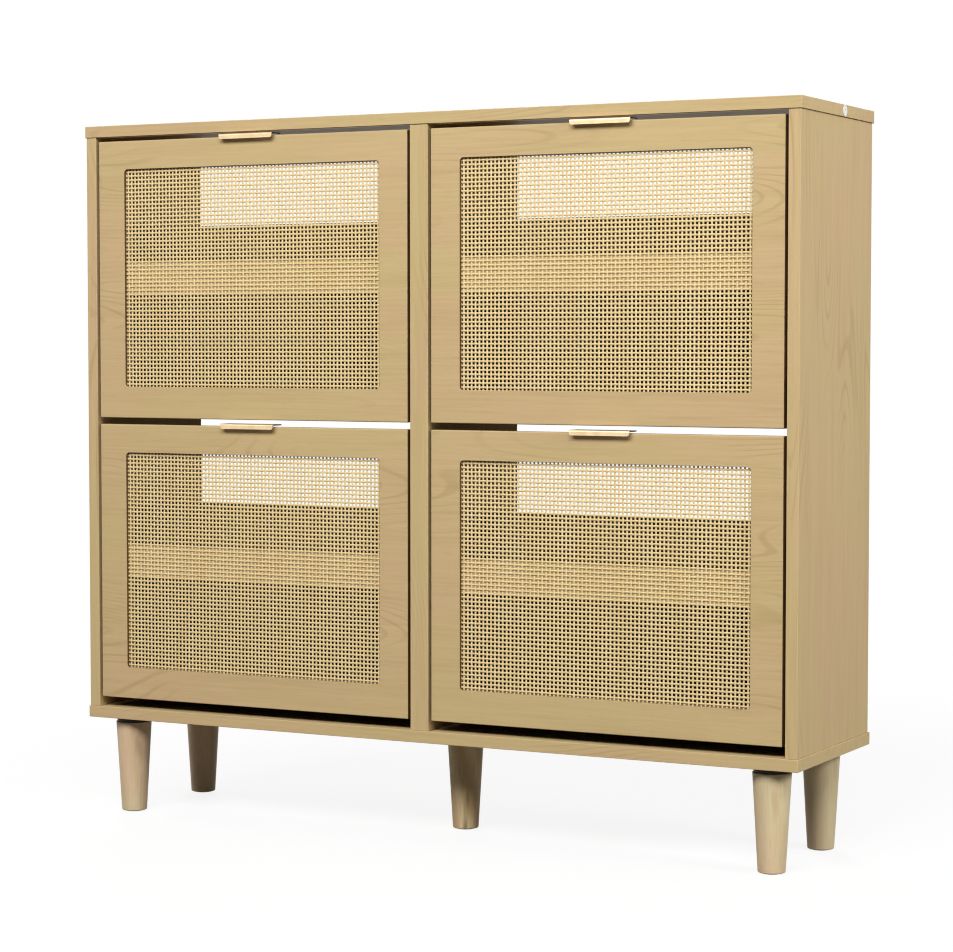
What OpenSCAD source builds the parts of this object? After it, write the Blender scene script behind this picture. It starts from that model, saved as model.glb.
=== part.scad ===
// Shoe cabinet on turned legs, with four flip-out doors of framed cane webbing.
// Millimetres. X runs along the width, the doors face -Y, and +Z is up.
// The origin is the middle of the centre foot, on the floor.

/* [Carcass] */
// Width over the top board's ends
cabinet_w = 1000; // [900:1:1150]
// Depth of the top and bottom boards, front to back
board_depth = 250; // [225:1:300]
// Height from the underside of the bottom board to the top face
carcass_h = 780; // [750:1:860]
// Thickness of the carcass boards
board_t = 15; // [14.5:0.5:18]
// Thickness of the centre divider
divider_t = 25; // [24:1:32]
// How far the top and bottom boards stand out past the side panels
end_overhang = 1.5; // [0.5:0.5:5]
// Set-back of the upright panels from the front edge of the top board
panel_front_setback = 1; // [0:0.5:2]
// Set-back of the upright panels from the back edge of the top board
panel_back_setback = 3; // [0:0.5:6]
// Height of each rear rail
rail_h = 70; // [50:1:110]
// Height of an upper rear rail above the foot of the door in front of it
upper_rail_up = 90; // [60:1:110]
// Distance of the panel dowels from the front and back board edges
dowel_inset = 35; // [25:1:45]
// Distance of the panel screws from the front and back board edges
panel_screw_inset = 75; // [65:1:90]

/* [Doors] */
// Thickness of a door board
door_t = 15; // [14:0.5:18]
// Gap beside a door
side_gap = 3.5; // [3:0.5:5]
// Gap over the upper doors
top_gap = 5.5; // [4:0.5:8]
// Gap between the upper and the lower doors
row_gap = 8.5; // [8:0.5:12]
// Gap under the lower doors
bottom_gap = 13; // [8:0.5:18]
// Set-back of the door faces from the front edge of the top board
door_setback = 2; // [0:0.5:6]
// Width of the frame left at each side of the opening
stile_w = 41; // [38:1:60]
// Height of the frame left over the opening
top_rail_w = 37; // [32:1:60]
// Height of the frame left under the opening
bottom_rail_w = 41; // [32:1:60]
// Corner radius of the opening
opening_r = 4.5; // [2:0.5:8]

/* [Cane panel] */
// Thickness of the cane webbing
cane_t = 2; // [1.5:0.1:3]
// Thickness of door left in front of the webbing
cane_lip = 2.8; // [2:0.1:4]
// Width of the rebate that holds the webbing, behind the opening's edge
rebate_w = 10; // [7:0.5:12]
// Height of the batten across the middle of the webbing
batten_h = 42; // [30:1:60]
// Number of openings across the webbing
mesh_across = 12; // [6:1:12]
// Number of openings up the webbing
mesh_up = 9; // [4:1:12]
// Width of the webbing left between two openings
mesh_bar = 15.5; // [8:0.5:20]

/* [Door pull] */
// Width of the pull
pull_w = 79; // [60:1:120]
// Reach of the pull in front of the door face
pull_reach = 8; // [6:0.5:20]
// Height of the pull's lip
lip_h = 6.5; // [5:0.5:9]
// Sheet thickness of the pull
pull_t = 1.5; // [1:0.1:2]
// Gap between the door's top edge and the plate of the pull
pull_lift = 1.8; // [0:0.1:2.5]
// Depth of the full-width plate over the door's top edge
pull_seat = 14; // [5:0.5:14.5]
// Width of the tab that turns down behind the door
tab_w = 50; // [40:1:58]
// Depth of that tab below the door's top edge
tab_h = 14; // [12:0.5:18]
// Radius of the lip's lower corners
lip_r = 3; // [1:0.5:4]

/* [Rack] */
// Set-back of the pivot from the door face
pivot_back = 24; // [22:0.5:28]
// Height of the pivot above the door's lower edge
pivot_up = 50; // [48:1:60]
// Angle through which a door opens
open_angle = 45; // [30:1:50]
// Radius of the pivot pins
pin_r = 4; // [3:0.5:5]
// Radial clearance of the pins in the pivot plates
pin_fit = 0.05; // [0.02:0.01:0.1]
// Gap between a rack bracket and the cabinet wall
bracket_gap = 5; // [4.5:0.5:6]
// Thickness of a rack bracket
bracket_t = 5; // [4:0.5:6]
// Thickness of the boards in the rack
rack_board_t = 5; // [3:0.5:6]
// Depth of the grooves that hold those boards
groove_depth = 2; // [1:0.5:2.5]
// Gap between a rack and the rear rail behind it
rack_rail_gap = 9; // [8:0.5:20]
// Height of the rack's floor above the door's lower edge
floor_up = 20; // [18:1:26]
// Height of the top of the lower pocket's back board
rack_back_top = 215; // [190:1:220]
// Height of the underside of the upper pocket's shelf
shelf_up = 172; // [160:1:185]
// Distance from the door face to the back of the upper pocket
upper_pocket_depth = 111; // [95:1:120]
// Height of the top of the upper pocket's back board
baffle_top = 254; // [240:1:260]
// Width of a bracket's fixing flange
flange_w = 16; // [14:1:18]
// Thickness of that flange
flange_t = 3; // [2.5:0.5:4]

/* [Pivot plates] */
// Thickness of a pivot plate
plate_t = 2.5; // [2:0.1:2.7]
// Radius of the travel of the stop pin
stop_travel_r = 60; // [56:1:64]
// Radius of the stop pin
stop_pin_r = 3; // [2:0.5:3.5]
// Clearance of the stop pin in its slot
stop_clear = 0.4; // [0.3:0.05:0.6]
// Radius of the spigot that seats in the cabinet wall
spigot_r = 7; // [6.5:0.5:8]
// Depth of that spigot
spigot_depth = 10; // [8:0.5:10.5]

/* [Legs] */
// Height of a wooden leg
leg_h = 119; // [90:1:160]
// Radius of a leg at the top
leg_top_r = 23.5; // [20:0.5:28]
// Radius of a leg at the foot
leg_foot_r = 16.5; // [14:0.5:20]
// Height of the black collar between leg and cabinet
collar_h = 7; // [4:0.5:10]
// Radius of that collar
collar_r = 22; // [16:0.5:26]
// Distance of the outer legs from the cabinet's ends
leg_end_inset = 46; // [40:1:80]
// Distance of the front legs from the front board edge
leg_front_inset = 37; // [30:1:60]
// Distance of the back legs from the back board edge
leg_back_inset = 47; // [35:1:60]
// Radius of the glides under the legs
glide_r = 12; // [8:0.5:13]
// How far a glide stands out of its leg
glide_t = 1; // [0.5:0.5:4]
// Radius of the leg bolts
leg_bolt_r = 4; // [3:0.5:4]
// Depth of a leg bolt in its leg
leg_bolt_depth = 30; // [20:1:40]
// Radius of the insert nuts
insert_r = 5.5; // [5:0.5:7]
// Length of the insert nuts
insert_len = 12; // [9:0.5:13]

/* [Fittings] */
// Radius of the wooden dowels
dowel_r = 4; // [3:0.5:4]
// Length of the wooden dowels
dowel_len = 30; // [24:1:36]
// Radius of the connector drums
drum_r = 6; // [5:0.5:6]
// Length of the connector drums
drum_len = 20; // [16:1:22]
// Depth of the drums below the board's end, filled by the cap
cap_depth = 4; // [3:0.5:5]
// Radius of the cover caps' rims
cap_r = 6.8; // [6.5:0.1:7]
// Distance of the connectors from the front board edge
connector_back = 144; // [130:1:155]
// Radius of the connector bolts
connector_bolt_r = 3; // [2:0.5:3.5]
// Length of a connector bolt inside a side panel
connector_bolt_len = 30; // [20:1:40]
// Thread radius of the panel screws
panel_screw_r = 3; // [2.5:0.5:3.5]
// Length of the panel screws
panel_screw_len = 50; // [40:1:60]
// Shank radius of the small screws
small_screw_r = 1.75; // [1.25:0.25:2]
// Radius of the wall-fixing holes in the upper rails
wall_hole_r = 3; // [2:0.5:4]

/* [Hidden] */
$fn = 48;
eps = 0.01;
oak = "#c7ae80";
hardboard = "#584026";
cane_colour = "#e3cf9c";
leg_wood = "#cbb997";
black_plastic = "#1f1e1d";
grey_plastic = "#8f8f8b";
white_plastic = "#f0efec";
steel = "#b9bbbd";
brass = "#ecd0a0";
beech = "#d8bd8f";

carcass_z = glide_t + leg_h + collar_h;
inner_z = carcass_z + board_t;
inner_h = carcass_h - 2 * board_t;
front_y = -board_depth / 2;
back_y = board_depth / 2;
panel_front_y = front_y + panel_front_setback;
panel_depth = board_depth - panel_front_setback - panel_back_setback;
panel_mid_x = cabinet_w / 2 - end_overhang - board_t / 2;
bay_w = (cabinet_w - 2 * end_overhang - 2 * board_t - divider_t) / 2;
bay_x = (divider_t + bay_w) / 2;
top_z = carcass_z + carcass_h;

door_w = bay_w - 2 * side_gap;
door_h = (inner_h - top_gap - row_gap - bottom_gap) / 2;
door_y = front_y + door_setback;
lower_z = inner_z + bottom_gap;
upper_z = lower_z + door_h + row_gap;
opening_w = door_w - 2 * stile_w;
opening_h = door_h - top_rail_w - bottom_rail_w;
opening_mid_z = bottom_rail_w + opening_h / 2;
rebate_y = cane_lip + cane_t;
batten_t = door_t - rebate_y;
bead_joint = 0.2;

bracket_out_x = bay_w / 2 - bracket_gap;
bracket_in_x = bracket_out_x - bracket_t;
rack_board_half = bracket_in_x + groove_depth;
bracket_margin = 6;
rail_y = panel_front_y + panel_depth - board_t - door_y;
rack_depth = rail_y - rack_rail_gap - bracket_margin;
bracket_screws_z = [floor_up + 18, (floor_up + shelf_up) / 2, shelf_up + 45];
bracket_screw_x = bracket_in_x - flange_w / 2;
small_screw_len = 11;
small_head_r = 3.4;
small_head_h = 2;
tab_screw_x = tab_w / 2 - 9;
tab_screw_drop = tab_h / 2 + 1;

stop_start = 30;
stop_slot_r = stop_pin_r + stop_clear;
plate_rim = 5;
plate_r = stop_travel_r + stop_slot_r + plate_rim;
pin_reach = 8;
boss_r = 8;
plate_screw_r = 1.5;
plate_screw_len = 10;
plate_screw_angles = [6, 86];
plate_screw_at = stop_travel_r - 12;

leg_chamfer = 2;
glide_pin_r = 3;
glide_pin_len = 8;
insert_flange_r = insert_r + 2;
insert_flange_t = 1;
screw_head_r = 5;
screw_head_h = 3;
connector_y = front_y + connector_back;
cap_rim_t = 0.6;
cap_socket_r = 2.4;
socket_depth = 2.5;
divider_drum_drop = 14;
divider_bolt_up = 11;

SIDES = [-1, 1];
// Each row of drawers is [height of its doors' lower edges, height of its rear rails above that].
ROWS = [[lower_z, -bottom_gap], [upper_z, upper_rail_up]];
PANELS_X = [-panel_mid_x, 0, panel_mid_x];
DOWELS_Y = [front_y + dowel_inset, back_y - dowel_inset];
PANEL_SCREWS_Y = [front_y + panel_screw_inset, back_y - panel_screw_inset];
LEG_X = cabinet_w / 2 - leg_end_inset;
FRONT_LEG_Y = front_y + leg_front_inset;
BACK_LEG_Y = back_y - leg_back_inset;
FRONT_LEGS = [[-LEG_X, FRONT_LEG_Y], [LEG_X, FRONT_LEG_Y]];
BACK_LEGS = [[-LEG_X, BACK_LEG_Y], [LEG_X, BACK_LEG_Y]];
CENTRE_LEG = [[0, 0]];
LEGS = concat(FRONT_LEGS, BACK_LEGS, CENTRE_LEG);

// Each drawer is [name, side of the cabinet, height of its door's lower edge].
DRAWERS = [
    ["upper_left", -1, upper_z],
    ["upper_right", 1, upper_z],
    ["lower_left", -1, lower_z],
    ["lower_right", 1, lower_z],
];
DRAWER_PARTS = ["door_board", "cane_panel", "cane_battens", "door_pull", "rack_brackets",
    "rack_floor", "rack_back", "rack_shelf", "rack_baffle", "drawer_screws"];
CARCASS_PARTS = ["top_board", "bottom_board", "left_side", "right_side", "centre_divider",
    "rear_rails", "front_legs", "back_legs", "centre_leg", "leg_collars", "leg_bolts",
    "leg_inserts", "leg_glides", "dowels", "connector_drums", "connector_bolts",
    "cover_caps", "panel_screws", "pivot_plates", "plate_screws"];

// ---- Helpers ----

// A box from its low corner and its size.
module block(low, size) {
    translate(low) cube(size);
}

// A flat shape drawn in (Y, Z), given thickness along +X from x.
module along_x(x, thickness) {
    translate([x, 0, 0]) rotate([90, 0, 90]) linear_extrude(thickness) children();
}

// A round bar along +X, starting at its first end.
module bar_x(at, r, length) {
    translate(at) rotate([0, 90, 0]) cylinder(r = r, h = length);
}

// A round bar along +Y, starting at its first end.
module bar_y(at, r, length) {
    translate(at) rotate([-90, 0, 0]) cylinder(r = r, h = length);
}

// A rectangle with round corners, centred on the origin.
module round_rect(w, h, r) {
    square([w - 2 * r, h], center = true);
    square([w, h - 2 * r], center = true);
    for (sx = SIDES, sy = SIDES)
        translate([sx * (w / 2 - r), sy * (h / 2 - r)]) circle(r);
}

// The part of the plane between two angles, out to past radius r.
module wedge(a, b, r) {
    m = (a + b) / 2;
    far = 2 * r;
    polygon([[0, 0], far * [cos(a), sin(a)], far * [cos(m), sin(m)], far * [cos(b), sin(b)]]);
}

// Puts a drawer's pieces in its bay: origin at the middle of the door's lower front edge.
module in_bay(side, z) {
    translate([side * bay_x, door_y, z]) children();
}

// Repeats a piece at both walls of the two bays in a row, with +X pointing into the wall.
module at_row_walls(row) {
    for (side = SIDES, wall = SIDES)
        in_bay(side, row[0]) mirror([wall < 0 ? 1 : 0, 0, 0]) children();
}

// Repeats a piece at both walls of all four bays.
module at_bay_walls() {
    for (row = ROWS) at_row_walls(row) children();
}

// ---- Carcass ----

// Dowels standing in the joints between the uprights and the top and bottom boards.
module panel_dowels() {
    for (x = PANELS_X, y = DOWELS_Y, z = [inner_z, inner_z + inner_h])
        translate([x, y, z - (z == inner_z ? dowel_len / 3 : 2 * dowel_len / 3)])
            cylinder(r = dowel_r, h = dowel_len);
}

// Dowels at both ends of the rear rails.
module rail_dowels() {
    for (row = ROWS, z = [rail_h / 4, 3 * rail_h / 4])
        at_row_walls(row)
            bar_x([bay_w / 2 - 2 * dowel_len / 3, rail_y + board_t / 2, row[1] + z],
                dowel_r, dowel_len);
}

module dowels() {
    color(beech) {
        panel_dowels();
        rail_dowels();
    }
}

// Screws up through the bottom board into the uprights.
module panel_screws() {
    color(steel)
        for (x = PANELS_X, y = PANEL_SCREWS_Y)
            translate([x, y, carcass_z]) difference() {
                union() {
                    cylinder(r1 = screw_head_r, r2 = panel_screw_r, h = screw_head_h);
                    cylinder(r = panel_screw_r, h = panel_screw_len);
                }
                translate([0, 0, -eps]) cylinder(r = cap_socket_r, h = socket_depth, $fn = 6);
            }
}

// The room that a panel screw takes.
module panel_screw_room() {
    for (x = PANELS_X, y = PANEL_SCREWS_Y)
        translate([x, y, carcass_z]) {
            cylinder(r1 = screw_head_r, r2 = panel_screw_r, h = screw_head_h);
            cylinder(r = panel_screw_r, h = panel_screw_len);
        }
}

// Bolts that stand in the side panels and the top board, and end in the drums.
module connector_bolt_shapes() {
    drum_mid = top_z - board_t / 2;
    for (side = SIDES)
        translate([side * panel_mid_x, connector_y, top_z - board_t - connector_bolt_len])
            cylinder(r = connector_bolt_r, h = connector_bolt_len + drum_mid - top_z + board_t);
    translate([0, connector_y, top_z - board_t - divider_drum_drop])
        cylinder(r = connector_bolt_r, h = divider_drum_drop + divider_bolt_up);
}

module connector_bolts() {
    color(steel) connector_bolt_shapes();
}

// The drums as bare rods: one in each end of the top board, one in the divider.
module drum_rods() {
    for (side = SIDES)
        mirror([side < 0 ? 1 : 0, 0, 0])
            bar_x([cabinet_w / 2 - cap_depth - drum_len, connector_y, top_z - board_t / 2],
                drum_r, drum_len);
    bar_x([divider_t / 2 - drum_len, connector_y, top_z - board_t - divider_drum_drop],
        drum_r, drum_len);
}

module connector_drums() {
    color(white_plastic) difference() {
        drum_rods();
        connector_bolt_shapes();
    }
}

// Caps that close the drum holes in the ends of the top board.
module cover_caps() {
    color(white_plastic)
        for (side = SIDES)
            mirror([side < 0 ? 1 : 0, 0, 0])
                translate([cabinet_w / 2, connector_y, top_z - board_t / 2]) difference() {
                    union() {
                        bar_x([-cap_depth, 0, 0], drum_r, cap_depth);
                        bar_x([0, 0, 0], cap_r, cap_rim_t);
                    }
                    translate([-socket_depth + cap_rim_t, 0, 0]) rotate([0, 90, 0])
                        cylinder(r = cap_socket_r, h = socket_depth + eps, $fn = 6);
                }
}

// Everything that is bored out of the carcass boards.
module carcass_bores() {
    panel_dowels();
    rail_dowels();
    panel_screw_room();
    connector_bolt_shapes();
    drum_rods();
    for (side = SIDES)
        mirror([side < 0 ? 1 : 0, 0, 0])
            bar_x([cabinet_w / 2 - cap_depth - eps, connector_y, top_z - board_t / 2],
                drum_r, cap_depth + 1);
    at_bay_walls() {
        bar_x([bay_w / 2 - eps, pivot_back, pivot_up], spigot_r, spigot_depth + eps);
        plate_screw_shapes();
    }
    leg_insert_room();
}

module top_board() {
    color(oak) difference() {
        block([-cabinet_w / 2, front_y, top_z - board_t], [cabinet_w, board_depth, board_t]);
        carcass_bores();
    }
}

module bottom_board() {
    color(oak) difference() {
        block([-cabinet_w / 2, front_y, carcass_z], [cabinet_w, board_depth, board_t]);
        carcass_bores();
    }
}

// An upright between the top and bottom boards.
module upright(mid_x, thickness) {
    color(oak) difference() {
        block([mid_x - thickness / 2, panel_front_y, inner_z], [thickness, panel_depth, inner_h]);
        carcass_bores();
    }
}

module left_side() {
    upright(-panel_mid_x, board_t);
}

module right_side() {
    upright(panel_mid_x, board_t);
}

module centre_divider() {
    upright(0, divider_t);
}

// Four rails that stiffen the open back. The lower two stand on the bottom board, and the upper
// two also take the wall screws.
module rear_rails() {
    color(oak) difference() {
        for (side = SIDES, row = ROWS)
            in_bay(side, row[0])
                block([-bay_w / 2, rail_y, row[1]], [bay_w, board_t, rail_h]);
        rail_dowels();
        for (side = SIDES)
            in_bay(side, upper_z)
                bar_y([0, rail_y - 1, upper_rail_up + rail_h / 2], wall_hole_r, board_t + 2);
    }
}

// ---- Pivot plates ----

// Outline of a plate about its pivot: a quarter disc and a round boss.
module plate_outline() {
    intersection() {
        circle(plate_r);
        square(plate_r);
    }
    circle(boss_r);
}

// The slot in which the stop pin travels.
module stop_slot() {
    a = stop_start;
    b = stop_start + open_angle;
    intersection() {
        difference() {
            circle(stop_travel_r + stop_slot_r);
            circle(stop_travel_r - stop_slot_r);
        }
        wedge(a, b, plate_r);
    }
    for (t = [a, b])
        translate(stop_travel_r * [cos(t), sin(t)]) circle(stop_slot_r);
}

// Screws of one pivot plate, seen from its bay.
module plate_screw_shapes() {
    for (a = plate_screw_angles)
        bar_x([bay_w / 2 - plate_t, pivot_back + plate_screw_at * cos(a),
            pivot_up + plate_screw_at * sin(a)], plate_screw_r, plate_t + plate_screw_len);
}

module pivot_plates() {
    color(black_plastic)
        at_bay_walls() difference() {
            union() {
                along_x(bay_w / 2 - plate_t, plate_t) translate([pivot_back, pivot_up]) difference() {
                    plate_outline();
                    stop_slot();
                }
                bar_x([bay_w / 2 - plate_t, pivot_back, pivot_up], spigot_r, plate_t + spigot_depth);
            }
            bar_x([bay_w / 2 - plate_t - 1, pivot_back, pivot_up], pin_r + pin_fit,
                plate_t + spigot_depth + 2);
            plate_screw_shapes();
        }
}

module plate_screws() {
    color(steel)
        at_bay_walls() plate_screw_shapes();
}

// ---- Legs ----

// A turned leg, tapered to the foot, with its edges broken.
module leg() {
    difference() {
        rotate_extrude()
            polygon([[0, 0], [leg_foot_r - leg_chamfer, 0], [leg_foot_r, leg_chamfer],
                [leg_top_r, leg_h - leg_chamfer / 2], [leg_top_r - leg_chamfer / 2, leg_h], [0, leg_h]]);
        translate([0, 0, leg_h - leg_bolt_depth]) cylinder(r = leg_bolt_r, h = leg_bolt_depth + 1);
        translate([0, 0, -1]) cylinder(r = glide_pin_r, h = glide_pin_len + 1);
    }
}

module legs_at(places) {
    color(leg_wood)
        for (p = places) translate([p[0], p[1], glide_t]) leg();
}

module front_legs() {
    legs_at(FRONT_LEGS);
}

module back_legs() {
    legs_at(BACK_LEGS);
}

module centre_leg() {
    legs_at(CENTRE_LEG);
}

module leg_collars() {
    color(black_plastic)
        for (p = LEGS) translate([p[0], p[1], glide_t + leg_h]) difference() {
            cylinder(r = collar_r, h = collar_h);
            translate([0, 0, -1]) cylinder(r = leg_bolt_r, h = collar_h + 2);
        }
}

module leg_bolts() {
    color(steel)
        for (p = LEGS)
            translate([p[0], p[1], glide_t + leg_h - leg_bolt_depth])
                cylinder(r = leg_bolt_r, h = leg_bolt_depth + collar_h + insert_len);
}

// The room of the insert nuts in the bottom board.
module leg_insert_room() {
    for (p = LEGS) translate([p[0], p[1], carcass_z]) {
        translate([0, 0, -eps]) cylinder(r = insert_r, h = insert_len + eps);
        translate([0, 0, -eps]) cylinder(r = insert_flange_r, h = insert_flange_t + eps);
    }
}

module leg_inserts() {
    color(steel)
        for (p = LEGS) translate([p[0], p[1], carcass_z]) difference() {
            union() {
                cylinder(r = insert_r, h = insert_len);
                cylinder(r = insert_flange_r, h = insert_flange_t);
            }
            translate([0, 0, -1]) cylinder(r = leg_bolt_r, h = insert_len + 2);
        }
}

module leg_glides() {
    color(grey_plastic)
        for (p = LEGS) translate([p[0], p[1], 0]) {
            cylinder(r = glide_r, h = glide_t);
            cylinder(r = glide_pin_r, h = glide_t + glide_pin_len);
        }
}

// ---- Doors; each piece is drawn about the middle of its door's lower front edge ----

// Small screws: heads and shanks that point to the door face.
module small_screws(recess) {
    difference() {
        union() {
            for (s = SIDES, z = bracket_screws_z)
                small_screw([s * bracket_screw_x, door_t + flange_t, z], flange_t);
            for (s = SIDES)
                small_screw([s * tab_screw_x, door_t + pull_t, door_h - tab_screw_drop], pull_t);
        }
        if (recess) {
            for (s = SIDES, z = bracket_screws_z)
                cross_recess([s * bracket_screw_x, door_t + flange_t + small_head_h, z]);
            for (s = SIDES)
                cross_recess([s * tab_screw_x, door_t + pull_t + small_head_h, door_h - tab_screw_drop]);
        }
    }
}

// One screw whose head bears on a sheet of the given thickness.
module small_screw(at, sheet_t) {
    bar_y(at, small_head_r, small_head_h);
    bar_y(at - [0, small_screw_len + sheet_t, 0], small_screw_r, small_screw_len + sheet_t);
}

// A cross cut in a screw head.
module cross_recess(at) {
    long = 3.6;
    wide = 0.9;
    for (size = [[long, wide], [wide, long]])
        translate(at - [size[0] / 2, 1, size[1] / 2]) cube([size[0], 1 + eps, size[1]]);
}

module door_board() {
    color(oak) difference() {
        block([-door_w / 2, 0, 0], [door_w, door_t, door_h]);
        translate([0, 0, opening_mid_z]) rotate([90, 0, 0])
            translate([0, 0, -door_t - 1]) linear_extrude(door_t + 2)
                round_rect(opening_w, opening_h, opening_r);
        block([-opening_w / 2 - rebate_w, cane_lip, opening_mid_z - opening_h / 2 - rebate_w],
            [opening_w + 2 * rebate_w, door_t, opening_h + 2 * rebate_w]);
        small_screws(false);
    }
}

module cane_panel() {
    color(cane_colour) difference() {
        block([-opening_w / 2 - rebate_w, cane_lip, opening_mid_z - opening_h / 2 - rebate_w],
            [opening_w + 2 * rebate_w, cane_t, opening_h + 2 * rebate_w]);
        webbing_openings();
    }
}

// The openings of the webbing: a plain grid over the door's window.
module webbing_openings() {
    step_x = opening_w / mesh_across;
    step_z = opening_h / mesh_up;
    for (i = [0 : mesh_across - 1], k = [0 : mesh_up - 1])
        block([-opening_w / 2 + i * step_x + mesh_bar / 2, cane_lip - 1,
            opening_mid_z - opening_h / 2 + k * step_z + mesh_bar / 2],
            [step_x - mesh_bar, cane_t + 2, step_z - mesh_bar]);
}

// Beads around the rebate and a batten across its middle keep the webbing flat.
module cane_battens() {
    out_w = opening_w + 2 * rebate_w;
    side_bead_h = (opening_h - batten_h) / 2 - 2 * bead_joint;
    color(oak) translate([0, rebate_y, opening_mid_z]) {
        centred_batten(0, 0, out_w, batten_h);
        for (sz = SIDES) {
            centred_batten(0, sz * (opening_h + rebate_w) / 2, out_w, rebate_w);
            for (sx = SIDES)
                centred_batten(sx * (opening_w + rebate_w) / 2, sz * (opening_h + batten_h) / 4,
                    rebate_w, side_bead_h);
        }
    }
}

// A batten about its middle in (X, Z).
module centred_batten(x, z, w, h) {
    block([x - w / 2, 0, z - h / 2], [w, batten_t, h]);
}

// Pull of folded sheet: a lip in front, a plate over the door's top edge, a tab behind.
module door_pull() {
    plate_z = door_h + pull_lift;
    color(brass) difference() {
        union() {
            translate([0, -pull_reach, plate_z + pull_t]) rotate([-90, 0, 0])
                linear_extrude(pull_t) lip_outline();
            block([-pull_w / 2, -pull_reach, plate_z], [pull_w, pull_reach + pull_seat, pull_t]);
            block([-tab_w / 2, 0, plate_z], [tab_w, door_t + pull_t, pull_t]);
            block([-tab_w / 2, door_t, door_h - tab_h],
                [tab_w, pull_t, tab_h + pull_lift + pull_t]);
        }
        small_screws(false);
    }
}

// The lip seen from behind, hanging from its top edge, with round lower corners.
module lip_outline() {
    translate([-pull_w / 2, 0]) square([pull_w, lip_h - lip_r]);
    translate([-pull_w / 2 + lip_r, 0]) square([pull_w - 2 * lip_r, lip_h]);
    for (s = SIDES)
        translate([s * (pull_w / 2 - lip_r), lip_h - lip_r]) circle(lip_r);
}

// ---- Rack behind each door ----

// The boards of the two shoe pockets, as [low y, low z, depth, height].
FLOOR = [door_t, floor_up, rack_depth - door_t, rack_board_t];
BACK = [rack_depth - rack_board_t, floor_up + rack_board_t, rack_board_t,
    rack_back_top - floor_up - rack_board_t];
SHELF = [door_t, shelf_up, upper_pocket_depth - door_t, rack_board_t];
BAFFLE = [upper_pocket_depth - rack_board_t, shelf_up + rack_board_t, rack_board_t,
    baffle_top - shelf_up - rack_board_t];

// The solid that a rack board fills between the two brackets.
module board_shape(board) {
    block([-rack_board_half, board[0], board[1]], [2 * rack_board_half, board[2], board[3]]);
}

// The flange of the +X bracket, flat on the back of the door.
module bracket_flange() {
    block([bracket_in_x - flange_w, door_t, floor_up - bracket_margin],
        [flange_w + eps, flange_t, bracket_shoulder_z() - floor_up + bracket_margin]);
}

// Height of a bracket at the door.
function bracket_shoulder_z() = bracket_screws_z[2] + 15;

// A bracket wall seen from the side.
module bracket_outline() {
    polygon([
        [door_t, floor_up - bracket_margin],
        [rack_depth + bracket_margin, floor_up - bracket_margin],
        [rack_depth + bracket_margin, rack_back_top + bracket_margin],
        [upper_pocket_depth + bracket_margin, baffle_top + bracket_margin],
        [upper_pocket_depth - rack_board_t - bracket_margin, baffle_top + bracket_margin],
        [door_t, bracket_shoulder_z()],
    ]);
}

module rack_brackets() {
    color(black_plastic)
        for (s = [0, 1]) mirror([s, 0, 0]) difference() {
            union() {
                difference() {
                    along_x(bracket_in_x, bracket_t) bracket_outline();
                    for (board = [FLOOR, BACK, SHELF, BAFFLE]) board_shape(board);
                }
                bracket_flange();
                bar_x([bracket_out_x - eps, pivot_back, pivot_up], pin_r, bracket_gap + pin_reach + eps);
                bar_x([bracket_out_x - eps, pivot_back + stop_travel_r * cos(stop_start),
                    pivot_up + stop_travel_r * sin(stop_start)], stop_pin_r, bracket_gap - 0.5 + eps);
            }
            small_screws(false);
        }
}

// A rack board, notched around the bracket flanges where it meets the door.
module rack_board(board) {
    color(hardboard) difference() {
        board_shape(board);
        for (s = [0, 1]) mirror([s, 0, 0]) bracket_flange();
    }
}

module rack_floor() {
    rack_board(FLOOR);
}

module rack_back() {
    rack_board(BACK);
}

module rack_shelf() {
    rack_board(SHELF);
}

module rack_baffle() {
    rack_board(BAFFLE);
}

module drawer_screws() {
    color(steel) small_screws(true);
}

// ---- The pieces, one node each ----

top_board();
bottom_board();
left_side();
right_side();
centre_divider();
rear_rails();
front_legs();
back_legs();
centre_leg();
leg_collars();
leg_bolts();
leg_inserts();
leg_glides();
dowels();
connector_drums();
connector_bolts();
cover_caps();
panel_screws();
pivot_plates();
plate_screws();
for (d = DRAWERS) in_bay(d[1], d[2]) {
    door_board();
    cane_panel();
    cane_battens();
    door_pull();
    rack_brackets();
    rack_floor();
    rack_back();
    rack_shelf();
    rack_baffle();
    drawer_screws();
}
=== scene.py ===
# %% [markdown]
# # A shoe cabinet with doors of woven cane
#
# The cabinet stands on five turned legs. Four doors tip forwards on pivots at their lower corners,
# each with a rack for shoes behind it. Its construction comes as finished parts, so this lesson is
# about looks: broken edges, oak laminate, real woven cane, folded brass pulls and turned wood.

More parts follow.
